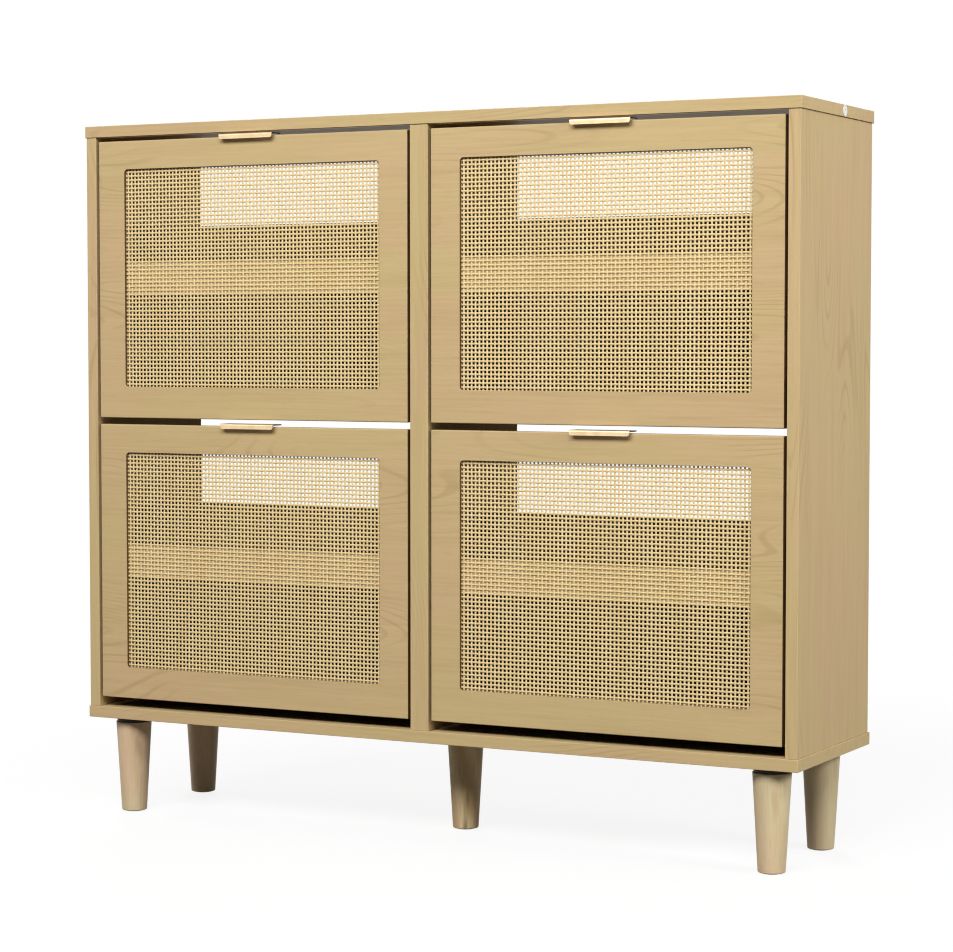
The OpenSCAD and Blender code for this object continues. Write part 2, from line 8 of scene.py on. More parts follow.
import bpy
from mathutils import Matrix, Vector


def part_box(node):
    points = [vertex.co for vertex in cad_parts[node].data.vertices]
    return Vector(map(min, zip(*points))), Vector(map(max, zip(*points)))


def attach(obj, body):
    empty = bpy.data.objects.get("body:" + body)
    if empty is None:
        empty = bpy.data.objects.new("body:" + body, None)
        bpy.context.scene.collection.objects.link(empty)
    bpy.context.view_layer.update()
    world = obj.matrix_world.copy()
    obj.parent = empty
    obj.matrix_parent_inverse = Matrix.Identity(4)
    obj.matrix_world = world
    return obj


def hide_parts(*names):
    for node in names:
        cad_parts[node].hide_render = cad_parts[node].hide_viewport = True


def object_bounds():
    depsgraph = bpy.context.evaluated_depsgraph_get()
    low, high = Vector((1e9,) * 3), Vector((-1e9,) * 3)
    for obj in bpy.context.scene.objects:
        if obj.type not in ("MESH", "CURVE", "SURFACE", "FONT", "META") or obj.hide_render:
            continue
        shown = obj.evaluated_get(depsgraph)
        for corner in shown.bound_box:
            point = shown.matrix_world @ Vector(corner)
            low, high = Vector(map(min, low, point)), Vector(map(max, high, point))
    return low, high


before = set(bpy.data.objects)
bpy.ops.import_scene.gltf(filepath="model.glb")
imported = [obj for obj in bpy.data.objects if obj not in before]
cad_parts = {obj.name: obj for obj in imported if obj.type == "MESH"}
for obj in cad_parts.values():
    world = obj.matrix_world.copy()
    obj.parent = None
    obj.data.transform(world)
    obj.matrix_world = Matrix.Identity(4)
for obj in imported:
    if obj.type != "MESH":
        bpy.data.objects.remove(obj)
cad_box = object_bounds()

# %% Tools for the lesson
import math
import random

import bmesh
import bpy
from mathutils import Euler, Matrix, Vector

MM = 0.001
DRAWERS = ("upper_left", "upper_right", "lower_left", "lower_right")
LEG_NODES = ("front_legs", "back_legs", "centre_leg")
CABINET = "cabinet"

# %% [markdown]
# ## Camera
#
# The cabinet is seen from its right, from a little above the middle of its height. A long lens
# keeps the doors nearly square to each other, as a catalogue picture does. The render filter is a
# little narrower than usual, which keeps the weave of the cane crisp.

# %% Camera
CAMERA_PLACE = (1.583, -3.002, 0.629)
CAMERA_TURN = 27.57
CAMERA_DOWN = 2.96
FOCAL_LENGTH = 100.4
SENSOR_WIDTH = 36
FILTER_WIDTH = 1.15

lens = bpy.data.cameras.new("catalogue_lens")
lens.lens = FOCAL_LENGTH
lens.sensor_width = SENSOR_WIDTH
camera = bpy.data.objects.new("camera", lens)
camera.location = CAMERA_PLACE
camera.rotation_euler = Euler((math.radians(90 - CAMERA_DOWN), 0, math.radians(CAMERA_TURN)))
bpy.context.scene.collection.objects.link(camera)
bpy.context.scene.camera = camera
bpy.context.scene.view_settings.view_transform = "Standard"
bpy.context.scene.cycles.filter_width = FILTER_WIDTH
print("camera at", CAMERA_PLACE, "with a lens of", round(lens.lens, 1), "mm")

# %% [markdown]
# ## Shader sums as plain Python
#
# A pattern is easier to read as a sum than as a web of nodes. `Value` wraps a socket and turns
# `0.4 + fibres * 0.2` into Math nodes, and `Nodes.node` adds any other node. `Finish` is the node
# tree of a material, and the studio's world has a plain `Nodes` of its own.


# %% Value, Nodes and Finish
class Value:
    """A node socket that takes part in Python sums."""

    def __init__(self, nodes, socket):
        self.nodes = nodes
        self.socket = socket

    def __add__(self, other):
        return self.nodes.math("ADD", self, other)

    def __radd__(self, other):
        return self.nodes.math("ADD", other, self)

    def __sub__(self, other):
        return self.nodes.math("SUBTRACT", self, other)

    def __mul__(self, other):
        return self.nodes.math("MULTIPLY", self, other)


class Nodes:
    """A node tree in the making."""

    def __init__(self, tree):
        self.tree = tree

    def node(self, kind, settings=None, inputs=None, output=0):
        """Adds a node, sets it up, feeds its sockets and gives one of its outputs."""
        made = self.tree.nodes.new("ShaderNode" + kind)
        for setting, value in (settings or {}).items():
            setattr(made, setting, value)
        for socket, value in (inputs or {}).items():
            self.feed(made.inputs[socket], value)
        return Value(self, made.outputs[output])

    def math(self, operation, *values):
        """Adds a Math node and gives its result."""
        return self.node("Math", {"operation": operation}, dict(enumerate(values)))

    def feed(self, socket, value):
        """Links a Value to a socket, or writes a plain number or colour on it."""
        if isinstance(value, Value):
            self.tree.links.new(value.socket, socket)
        else:
            socket.default_value = value


class Finish(Nodes):
    """A material in the making, with its Principled shader."""

    def __init__(self, name):
        self.material = bpy.data.materials.new(name)
        self.material.use_nodes = True
        super().__init__(self.material.node_tree)
        self.shader = self.tree.nodes["Principled BSDF"]
        self.output = self.tree.nodes["Material Output"]

    def surface(self, gloss=0.5, **inputs):
        """Feeds the Principled shader; base_color stands for Base Color, and so on."""
        self.shader.inputs["Specular IOR Level"].default_value = gloss
        for words, value in inputs.items():
            self.feed(self.shader.inputs[words.replace("_", " ").title()], value)
        return self.material


# %% [markdown]
# ## Words for patterns
#
# Every finish below is made of a few patterns that are long one way and short the others, as wood
# and cane are. They all read Object coordinates, which here are the part's own metres, so a
# pattern keeps its size from one piece to the next and no two pieces show the same figure.


# %% Colour and pattern helpers
def srgb(red, green, blue):
    """A screen colour, 0 to 255 a channel, as the shader's linear colour."""
    screen = [channel / 255 for channel in (red, green, blue)]
    return (*(c / 12.92 if c <= 0.04045 else ((c + 0.055) / 1.055) ** 2.4 for c in screen), 1)


def grain_axes(finish, grain):
    """Object coordinates as (along, across, through) for a grain that runs along x, y or z."""
    place = finish.node("TexCoord", output="Object")
    axes = {axis: finish.node("SeparateXYZ", {}, {0: place}, output=axis.upper()) for axis in "xyz"}
    others = [axis for axis in "zxy" if axis != grain]
    return axes[grain], axes[others[0]], axes[others[1]]


def stretched_noise(axes, scales, detail=2.0, roughness=0.5):
    """Noise with its own scale along each axis: large numbers make it fine that way."""
    nodes = axes[0].nodes
    vector = nodes.node("CombineXYZ", {}, {i: axes[i] * scales[i] for i in range(3)})
    return nodes.node("TexNoise", {}, {
        "Vector": vector, "Scale": 1.0, "Detail": detail, "Roughness": roughness})


def fade(value, low, high, start=0.0, end=1.0):
    """A smooth change from start to end while value goes from low to high."""
    return value.nodes.node("MapRange", {"interpolation_type": "SMOOTHSTEP"}, {
        "Value": value, "From Min": low, "From Max": high, "To Min": start, "To Max": end})


def mixed(share, first, second):
    """The first colour where share is 0, the second where it is 1."""
    return share.nodes.node(
        "Mix", {"data_type": "RGBA"}, {0: share, 6: first, 7: second}, output=2)


def relief(height, depth):
    """A normal for a surface whose relief is depth metres high."""
    return height.nodes.node("Bump", {}, {"Strength": 1.0, "Distance": depth, "Height": height})


# %% [markdown]
# ## Oak laminate
#
# The boards are chipboard under printed oak. Plain-sawn oak shows three things: arches where the
# saw met the growth rings, straight streaks between them, and short dark pores. The arches are
# level lines of one slow, stretched noise, which close round each other as real ones do.

# %% Oak laminate
OAK_PALE = srgb(207, 184, 137)
OAK_MID = srgb(196, 172, 123)
OAK_WARM = srgb(199, 169, 127)
OAK_DARK = srgb(162, 134, 88)
RING_RATE = 260


def oak_laminate(name, grain, gloss=0.14, roughness=0.44):
    """Printed oak with its grain along one axis."""
    finish = Finish(name)
    axes = grain_axes(finish, grain)
    field = stretched_noise(axes, (1.3, 9, 9), detail=1.2)
    rings = fade(finish.math("SINE", field * RING_RATE), 0.45, 1.0)
    patches = fade(stretched_noise(axes, (2.6, 8, 8)), 0.48, 0.64)
    streaks = stretched_noise(axes, (9, 330, 330), detail=3, roughness=0.6)
    bands = stretched_noise(axes, (4, 60, 60), detail=2)
    pores = fade(stretched_noise(axes, (55, 1500, 1500)), 0.62, 0.72)
    tint = stretched_noise(axes, (3, 11, 11), detail=1)
    ground = mixed(fade(tint, 0.35, 0.65), OAK_MID, OAK_WARM)
    banded = mixed(fade(bands, 0.45, 0.7) * 0.14, ground, OAK_DARK)
    streaked = mixed(fade(streaks, 0.3, 0.72) * 0.45, banded, OAK_PALE)
    arched = mixed(rings * patches * 0.34, streaked, OAK_DARK)
    colour = mixed(pores * 0.25, arched, OAK_DARK)
    return finish.surface(
        gloss=gloss,
        base_color=colour,
        roughness=roughness + streaks * 0.12,
        normal=relief(streaks - pores, 0.00004))


oak_across = oak_laminate("oak_laminate_along_width", "x")
oak_upright = oak_laminate("oak_laminate_upright", "z")
oak_inside = oak_laminate("oak_laminate_matt_inside", "z", gloss=0.03, roughness=0.7)
print("made", oak_across.name, oak_upright.name, "and", oak_inside.name)

# %% [markdown]
# ## Hardboard
#
# The racks are bare fibreboard. It is an even brown with a fine fleck of fibres that lie every way,
# so two noises without any grain direction are enough. A second brown of the same make is painted
# shade, put on the doors' edges, the walls of their windows and the lower round of the top board.


# %% Hardboard
def hardboard(name, pale, dark):
    """Bare fibreboard with a fine fleck."""
    finish = Finish(name)
    axes = grain_axes(finish, "x")
    fibres = stretched_noise(axes, (420, 420, 420), detail=4, roughness=0.7)
    clouds = stretched_noise(axes, (24, 24, 24), detail=2)
    colour = mixed(fade(clouds, 0.3, 0.7), pale, dark)
    colour = mixed(fade(fibres, 0.5, 0.75) * 0.4, colour, dark)
    return finish.surface(
        gloss=0.2, base_color=colour, roughness=0.62 + fibres * 0.1,
        normal=relief(fibres, 0.00005))


rack_board = hardboard("brown_hardboard", srgb(76, 55, 33), srgb(60, 43, 25))
# The second brown is painted shade for faces that lie in shadow, not a finish the boards have.
painted_shade_edge = hardboard("brown_edge_painted_shade", srgb(96, 72, 42), srgb(78, 57, 32))
print("made", rack_board.name, "and", painted_shade_edge.name)

# %% [markdown]
# ## Cane, leg wood and beech
#
# Cane is split from a vine's glossy skin. Each strand keeps much the same tone along its run, with
# fine fibre lines along it. The legs are turned from solid wood, so they show layers of growth
# that a cone cuts at a slant. Each leg comes from another billet, so some are paler and some have
# a blush, and the middle one has a streak of dark heart wood.

# %% Cane
CANE_STRAW = srgb(233, 207, 151)
# The cream is a painted highlight, given to the upright strands only.
CANE_CREAM_PAINTED_HIGHLIGHT = srgb(241, 219, 171)
CANE_HONEY = srgb(202, 171, 114)


def cane(name, run, deep, pale):
    """Split cane whose strands run along one axis, between a deep and a pale tone."""
    finish = Finish(name)
    axes = grain_axes(finish, run)
    tone = stretched_noise(axes, (4, 110, 110), detail=1)
    fibres = stretched_noise(axes, (60, 4000, 4000), detail=2)
    blotches = fade(stretched_noise(axes, (40, 120, 120)), 0.58, 0.75)
    colour = mixed(fade(tone, 0.3, 0.7), deep, pale)
    colour = mixed(blotches * 0.1, colour, CANE_HONEY)
    colour = mixed(fibres * 0.15, colour, CANE_HONEY)
    return finish.surface(
        gloss=0.2,
        base_color=colour,
        roughness=0.34 + fibres * 0.2,
        normal=relief(fibres, 0.00003))


# The uprights run from straw to a paler cream and the crossers stay straw: painted highlight on the
# uprights and painted shade on the crossers.
cane_upright = cane("cane_strands_upright", "z", CANE_STRAW, CANE_CREAM_PAINTED_HIGHLIGHT)
cane_across = cane("cane_strands_across", "x", CANE_STRAW, CANE_STRAW)
print("made", cane_upright.name, "and", cane_across.name)

# %% Turned wood
LEG_PALE = srgb(214, 198, 158)
LEG_BLUSH = srgb(222, 192, 157)
LEG_MID = srgb(202, 177, 138)
LEG_DARK = srgb(150, 122, 84)
LAYER_RATE = 260


def turned_wood(name, pale, blush, mid, dark, slant=0.07, figure=0.45):
    """Solid wood with upright grain, cut from layers of growth that lie at a slant."""
    finish = Finish(name)
    along, left, back = grain_axes(finish, "z")
    warp = stretched_noise((along, left, back), (5, 22, 22), detail=2)
    layer = (left * 0.8 + back * 0.5 + along * slant) * LAYER_RATE + warp * 9
    growth = finish.math("SINE", layer) * 0.5 + 0.5
    fibres = stretched_noise((along, left, back), (14, 700, 700), detail=3)
    stains = fade(stretched_noise((along, left, back), (9, 45, 45)), 0.57, 0.74)
    tones = stretched_noise((along, left, back), (3, 4.3, 0.6), detail=1)
    sapwood = mixed(fade(tones, 0.42, 0.58), pale, blush)
    colour = mixed(growth * figure, sapwood, mid)
    colour = mixed(fade(fibres, 0.45, 0.75) * 0.18, colour, dark)
    colour = mixed(stains * figure, colour, dark)
    return finish.surface(
        gloss=0.25,
        base_color=colour,
        roughness=0.42 + fibres * 0.15,
        normal=relief(fibres, 0.00005))


leg_wood = turned_wood("turned_leg_wood", LEG_PALE, LEG_BLUSH, LEG_MID, LEG_DARK)
heart_wood = turned_wood(
    "turned_heart_wood", srgb(234, 210, 162), srgb(230, 198, 156),
    srgb(192, 160, 114), srgb(92, 74, 46), slant=0.2, figure=0.85)
beech = turned_wood(
    "plain_beech", srgb(222, 196, 152), srgb(218, 190, 148),
    srgb(206, 176, 128), srgb(170, 132, 86))
print("made", leg_wood.name, heart_wood.name, "and", beech.name)

# %% [markdown]
# ## Metal and plastic
#
# Brass sheet is brushed along the pull, steel is plated and a little cloudy, and the moulded
# plastics have a fine sparked texture.


# %% Metal and plastic
def brushed_metal(name, colour, cloud, grain, roughness):
    """Metal with fine brush lines along one axis."""
    finish = Finish(name)
    axes = grain_axes(finish, grain)
    lines = stretched_noise(axes, (30, 5000, 5000), detail=2)
    clouds = stretched_noise(axes, (60, 60, 60), detail=2)
    return finish.surface(
        base_color=mixed(fade(clouds, 0.35, 0.65), colour, cloud),
        metallic=1.0,
        roughness=roughness + lines * 0.16,
        normal=relief(lines, 0.00001))


def moulded_plastic(name, colour, cloud, roughness, gloss=0.5):
    """Plastic with the fine texture of a sparked mould."""
    finish = Finish(name)
    axes = grain_axes(finish, "z")
    grit = stretched_noise(axes, (1400, 1400, 1400), detail=1)
    clouds = stretched_noise(axes, (35, 35, 35), detail=2)
    return finish.surface(
        gloss=gloss,
        base_color=mixed(fade(clouds, 0.3, 0.7), colour, cloud),
        roughness=roughness + grit * 0.12,
        normal=relief(grit, 0.00003))


brass = brushed_metal("pale_brass", srgb(233, 208, 168), srgb(222, 194, 152), "x", 0.3)
steel = brushed_metal("plated_steel", srgb(196, 197, 199), srgb(178, 180, 184), "x", 0.3)
black_plastic = moulded_plastic(
    "black_plastic", srgb(34, 33, 32), srgb(26, 25, 25), 0.45, gloss=0.15)
white_plastic = moulded_plastic("white_plastic", srgb(240, 239, 236), srgb(232, 231, 227), 0.4)
grey_plastic = moulded_plastic("grey_plastic", srgb(143, 143, 139), srgb(130, 130, 126), 0.5)
print("made", brass.name, steel.name, black_plastic.name, white_plastic.name, grey_plastic.name)

# %% [markdown]
# ## Making a finished piece
#
# A piece is a mesh in place at the origin. `finished` gives it its finish, puts it on its body,
# and hides the part of the construction that it stands for.


# %% Finished pieces
FLAT_AREA = 40 * MM * MM
FLAT_EDGE_ANGLE = math.radians(35)


def shade(shape):
    """Rounds off the look of curved faces, and keeps large flat faces truly flat."""
    for face in shape.faces:
        face.smooth = True
    for edge in shape.edges:
        flat = any(face.calc_area() > FLAT_AREA and len(face.verts) > 3 for face in edge.link_faces)
        sharp = len(edge.link_faces) == 2 and edge.calc_face_angle(0) > FLAT_EDGE_ANGLE
        edge.smooth = not (flat or sharp)


def finished(shape, name, body, material, replaces):
    """Turns a bmesh into a piece of the object."""
    bmesh.ops.recalc_face_normals(shape, faces=shape.faces)
    mesh = bpy.data.meshes.new(name)
    shape.to_mesh(mesh)
    shape.free()
    mesh.materials.append(material)
    piece = bpy.data.objects.new(name, mesh)
    bpy.context.scene.collection.objects.link(piece)
    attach(piece, body)
    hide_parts(*replaces)
    return piece


# %% [markdown]
# ## Broken edges
#
# No real board has a perfectly sharp edge: the edge band is scraped to a small round, and that
# round is what catches the light. A copy of each board is welded, its flat faces are made whole
# again, and the edges of its outer box are bevelled. The holes bored in it stay as they are.


# %% Break the edges of a board
WELD = 0.001 * MM
TOUCH = 0.01 * MM
SHARP = math.radians(60)
NEARLY_FLAT = math.radians(0.5)
SAME_WAY = 0.99
EDGE_STEPS = 3


def welded_copy(node):
    """The mesh of a construction part with its loose triangles joined into whole faces."""
    shape = bmesh.new()
    shape.from_mesh(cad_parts[node].data)
    bmesh.ops.remove_doubles(shape, verts=shape.verts, dist=WELD)
    bmesh.ops.dissolve_limit(
        shape, angle_limit=NEARLY_FLAT, verts=shape.verts, edges=shape.edges)
    return shape


def sides_touched(place, low, high):
    """Which faces of a box a point lies on, as a set of (axis, side)."""
    touched = set()
    for axis in range(3):
        if abs(place[axis] - low[axis]) < TOUCH:
            touched.add((axis, 0))
        if abs(place[axis] - high[axis]) < TOUCH:
            touched.add((axis, 1))
    return touched


def box_edges(shape, low, high):
    """The edges that run along an edge of the box."""
    found = []
    for edge in shape.edges:
        start, end = (sides_touched(vert.co, low, high) for vert in edge.verts)
        if len(start & end) >= 2:
            found.append(edge)
    return found


def sharp_edges(shape, angle=SHARP):
    """The edges where two faces meet at more than an angle."""
    return [e for e in shape.edges if len(e.link_faces) == 2 and e.calc_face_angle(0) > angle]


def bevel(shape, geom, width, segments, affect="EDGES"):
    """Rounds edges or corners off."""
    bmesh.ops.bevel(
        shape, geom=geom, offset=width, affect=affect, segments=segments, profile=0.5,
        material=-1)


def broken_edges(node, material, inner, width):
    """A carcass board with its outer edges rounded; inner gives the ways its matt faces look."""
    shape = welded_copy(node)
    bevel(shape, box_edges(shape, *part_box(node)), width, EDGE_STEPS)
    for face in shape.faces:
        matt = any(face.normal.dot(Vector(way)) > SAME_WAY for way in inner)
        face.material_index = int(matt)
    shade(shape)
    board = finished(shape, node + "_eased", CABINET, material, [node])
    board.data.materials.append(oak_inside)
    return board


# %% Carcass boards
BOARD_EDGE = 0.7 * MM


def is_lower_round(face):
    """True for the rounded lower edge of the top board, which gets the dark brown as painted shade.
    """
    return -SAME_WAY < face.normal.z < -0.2


for node, material, inner in (
    ("top_board", oak_across, ()),
    ("bottom_board", oak_across, [(0, 0, 1)]),
    ("left_side", oak_upright, [(1, 0, 0)]),
    ("right_side", oak_upright, [(-1, 0, 0)]),
    ("centre_divider", oak_upright, [(1, 0, 0), (-1, 0, 0)]),
):
    board = broken_edges(node, material, inner, BOARD_EDGE)
    # The lower round of the top board gets the dark brown: painted shade under the board's
    # overhang.
    if node == "top_board":
        board.data.materials.append(painted_shade_edge)
        for face in board.data.polygons:
            if is_lower_round(face):
                face.material_index = len(board.data.materials) - 1
    print(board.name, [round(side / MM) for side in board.dimensions], "mm")

# %% [markdown]
# ## Doors
#
# A door is one board with a window cut in it. The cutter leaves a small round along the front of
# the window as well as along the outside, so both are chosen: all sharp edges in the front face.
# The walls of the window, the door's two upright edges and its lower edge get a dark brown as
# painted shade, for the shade that falls in the window and in the gaps round the door.


# %% Doors
def front_edges(shape, front):
    """The sharp edges in the front face of a door."""
    return [
        edge for edge in sharp_edges(shape)
        if all(abs(vert.co.y - front) < TOUCH for vert in edge.verts)
    ]


def is_jamb(face, low, high):
    """True for the walls of the window, which lie well inside the board's outline."""
    inside = all(
        low.x + WINDOW_MARGIN < vert.co.x < high.x - WINDOW_MARGIN
        and low.z + WINDOW_MARGIN < vert.co.z < high.z - WINDOW_MARGIN
        for vert in face.verts)
    return inside and abs(face.normal.y) < 0.2


def is_shade_painted_edge(face):
    """True for the door's two upright edges and its lower edge, rounds included."""
    return abs(face.normal.x) > 0.3 or face.normal.z < -0.3


DOOR_EDGE = 1.4 * MM
WINDOW_EDGE = 0.4 * MM
WINDOW_MARGIN = 25 * MM

for drawer in DRAWERS:
    node = drawer + "_door_board"
    low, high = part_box(node)
    shape = welded_copy(node)
    outline = box_edges(shape, low, high)
    window = [edge for edge in front_edges(shape, low.y) if edge not in outline]
    bevel(shape, window, WINDOW_EDGE, 2)
    bevel(shape, box_edges(shape, low, high), DOOR_EDGE, EDGE_STEPS)
    for face in shape.faces:
        # Window walls and the upright and lower edges get the dark brown: painted shade.
        face.material_index = int(is_jamb(face, low, high) or is_shade_painted_edge(face))
    shade(shape)
    door = finished(shape, node + "_eased", drawer + "_drawer", oak_across, [node])
    door.data.materials.append(painted_shade_edge)
    print(door.name, len(door.data.polygons), "faces")

# %% [markdown]
# ## Woven cane
#
# The webbing is a plain weave of flat strands with square holes. One straight strand is swept
# from a flat hexagon, with two rings to a crossing, and repeated across the window. Then every
# ring moves forwards or backwards: over at one crossing, under at the next, and the next strand
# the other way round. The strands really pass round each other, so light does the rest.

# %% Weave settings
PITCH = 5.35 * MM
UPRIGHT_WIDTH = 0.5 * PITCH
CROSSER_WIDTH = 0.53 * PITCH
STRAND_THICKNESS = 0.5 * MM
WAVE = 0.26 * MM
WANDER = 0.03 * MM


def straight_strands(strand_width, count, pitch, crossings, crossing_pitch):
    """Straight strands along +Z side by side along +X, each with two rings to a crossing."""
    shape = bmesh.new()
    bmesh.ops.create_circle(shape, segments=6, radius=0.5, cap_ends=True)
    bmesh.ops.scale(shape, vec=(strand_width, STRAND_THICKNESS, 1), verts=shape.verts)
    bmesh.ops.translate(shape, vec=(pitch / 2, 0, crossing_pitch / 4), verts=shape.verts)
    bmesh.ops.spin(
        shape, geom=shape.faces[:], axis=(0, 0, 1), dvec=(0, 0, crossing_pitch / 2),
        angle=0, steps=2 * crossings - 1)
    bmesh.ops.spin(
        shape, geom=shape.verts[:] + shape.edges[:] + shape.faces[:], axis=(0, 0, 1),
        dvec=(pitch, 0, 0), angle=0, steps=count - 1, use_duplicate=True)
    return shape


def weave(shape, pitch, crossing_pitch, first_over, wander):
    """Moves the rings of straight strands over and under their crossings."""
    for vert in shape.verts:
        strand = int(vert.co.x // pitch)
        crossing = int(vert.co.z // crossing_pitch)
        over = (strand + crossing) % 2 == first_over
        vert.co.y += -WAVE if over else WAVE
        vert.co.x += wander[strand]


# %% Weave the webbing of one door
low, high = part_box("upper_left_cane_panel")
width, _, height = high - low
columns = round(width / PITCH)
rows = round(height / PITCH)
pitch_x, pitch_z = width / columns, height / rows
dice = random.Random(7)

upright_strands = straight_strands(UPRIGHT_WIDTH, columns, pitch_x, rows, pitch_z)
weave(upright_strands, pitch_x, pitch_z, 0, [dice.uniform(-WANDER, WANDER) for _ in range(columns)])
cross_strands = straight_strands(CROSSER_WIDTH, rows, pitch_z, columns, pitch_x)
weave(cross_strands, pitch_z, pitch_x, 1, [dice.uniform(-WANDER, WANDER) for _ in range(rows)])
bmesh.ops.transform(
    cross_strands, matrix=Matrix(((0, 0, 1, 0), (0, 1, 0, 0), (1, 0, 0, 0), (0, 0, 0, 1))),
    verts=cross_strands.verts)
face_count = len(upright_strands.faces) + len(cross_strands.faces)
print(columns, "by", rows, "strands,", face_count, "faces")

# %% Put the webbing in all four doors
for drawer in DRAWERS:
    low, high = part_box(drawer + "_cane_panel")
    corner = Matrix.Translation((low.x, (low.y + high.y) / 2, low.z))
    for name, strands, material in (
        ("cane_uprights", upright_strands, cane_upright),
        ("cane_crossers", cross_strands, cane_across),
    ):
        shape = strands.copy()
        bmesh.ops.transform(shape, matrix=corner, verts=shape.verts)
        for face in shape.faces:
            face.smooth = True
        piece = finished(
            shape, f"{drawer}_{name}", drawer + "_drawer", material,
            [drawer + "_cane_panel"])
    print(piece.name, "woven in")
upright_strands.free()
cross_strands.free()

# %% [markdown]
# ## Behind the doors
#
# Battens hold the webbing in its rebate. The rack is two moulded side brackets with four thin
# boards let into them. They show through the holes of the cane, and in full when a door is open.

# %% Battens and racks
THIN_EDGE = 0.4 * MM
MOULDED_EDGE = 0.5 * MM
EASED_ANGLE = math.radians(40)
EASED_STEPS = 2


def eased_everywhere(node, body, material, width):
    """A part with all its sharp edges rounded."""
    shape = welded_copy(node)
    bevel(shape, sharp_edges(shape, EASED_ANGLE), width, EASED_STEPS)
    shade(shape)
    return finished(shape, node + "_eased", body, material, [node])


for drawer in DRAWERS:
    body = drawer + "_drawer"
    eased_everywhere(drawer + "_cane_battens", body, oak_across, THIN_EDGE)
    for board in ("rack_floor", "rack_back", "rack_shelf", "rack_baffle"):
        eased_everywhere(f"{drawer}_{board}", body, rack_board, THIN_EDGE)
    eased_everywhere(drawer + "_rack_brackets", body, black_plastic, MOULDED_EDGE)
    print(drawer, "battens, boards and brackets")

eased_everywhere("rear_rails", CABINET, oak_inside, BOARD_EDGE)

# %% [markdown]
# ## Folded brass pulls
#
# A pull is one piece of sheet: a lip to take hold of, a plate that lies on the door's top edge,
# and a narrower tab that turns down behind the door for its two screws. It starts as a flat strip
# of faces along the folds. The folds are rounded, then the lip's corners, and last the sheet gets
# its thickness. The ends of the plate behind the lip are painted black as painted shade.

# %% Pulls
SHEET = 1.5 * MM
LIP_HEIGHT = 6.5 * MM
LIP_CORNER = 3 * MM
FOLD = 1.9 * MM
TAB_WIDTH = 50 * MM
PLATE_DEPTH = 14 * MM
FOLD_STEPS = 5
CORNER_STEPS = 6


def extruded(shape, edges, step):
    """Extrudes edges by one step and gives the new edges."""
    made = bmesh.ops.extrude_edge_only(shape, edges=edges)["geom"]
    moved = [item for item in made if isinstance(item, bmesh.types.BMVert)]
    bmesh.ops.translate(shape, vec=step, verts=moved)
    return [item for item in made if isinstance(item, bmesh.types.BMEdge)]


def door_pull(drawer):
    """The folded sheet of one pull, still without thickness."""
    low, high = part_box(drawer + "_door_pull")
    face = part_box(drawer + "_door_board")[0].y
    middle = (low.x + high.x) / 2
    shape = bmesh.new()
    corners = [
        shape.verts.new((low.x, low.y, high.z - LIP_HEIGHT)),
        shape.verts.new((high.x, low.y, high.z - LIP_HEIGHT)),
    ]
    edge = shape.edges.new(corners)
    strip = extruded(shape, [edge], (0, 0, LIP_HEIGHT))
    strip = extruded(shape, strip, (0, face + PLATE_DEPTH - low.y, 0))
    for tab_side in (middle - TAB_WIDTH / 2, middle + TAB_WIDTH / 2):
        bmesh.ops.bisect_plane(
            shape, geom=shape.edges[:] + shape.faces[:] + shape.verts[:],
            plane_co=(tab_side, 0, 0), plane_no=(1, 0, 0))
    root = [
        e for e in shape.edges
        if e.is_boundary
        and all(abs(v.co.y - face - PLATE_DEPTH) < TOUCH for v in e.verts)
        and all(abs(v.co.x - middle) < TAB_WIDTH / 2 + TOUCH for v in e.verts)
    ]
    strip = extruded(shape, root, (0, high.y - face - PLATE_DEPTH, 0))
    extruded(shape, strip, (0, 0, low.z - high.z))
    bevel(shape, sharp_edges(shape), FOLD, FOLD_STEPS)
    tips = [v for v in shape.verts if abs(v.co.z - high.z + LIP_HEIGHT) < TOUCH
            and min(abs(v.co.x - low.x), abs(v.co.x - high.x)) < TOUCH]
    bevel(shape, tips, LIP_CORNER, CORNER_STEPS, affect="VERTICES")
    return shape


for drawer in DRAWERS:
    shape = door_pull(drawer)
    bmesh.ops.recalc_face_normals(shape, faces=shape.faces)
    print(drawer, "pull faces", len(shape.faces))
    # The thickness grows inwards, so the sheet has to face outwards first.
    top = max(shape.faces, key=lambda face: face.calc_center_median().z)
    if top.normal.z < 0:
        bmesh.ops.reverse_faces(shape, faces=shape.faces)
    bmesh.ops.solidify(shape, geom=shape.faces[:], thickness=SHEET)
    shade(shape)
    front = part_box(drawer + "_door_pull")[0].y
    # The plate's ends behind the lip get the black: painted shade, not the brass they are made of.
    for face in shape.faces:
        behind_lip = face.calc_center_median().y > front + FOLD
        face.material_index = int(behind_lip and abs(face.normal.x) > 0.9)
    pull = finished(
        shape, drawer + "_brass_pull", drawer + "_drawer", brass,
        [drawer + "_door_pull"])
    pull.data.materials.append(black_plastic)
    print(pull.name, [round(side / MM, 2) for side in pull.dimensions], "mm")

# %% [markdown]
# ## Legs
#
# A leg comes off a lathe, so a full spin of its profile is the natural way to make one. The rims
# are rounded afterwards, as a turner does with sandpaper.

# %% Turned legs
FOOT_RADIUS = 16.5 * MM
FOOT_ROUND = 1.5 * MM
TOP_ROUND = 0.8 * MM
RIM_ANGLE = math.radians(50)
RIM_STEPS = 5
LATHE_STEPS = 64


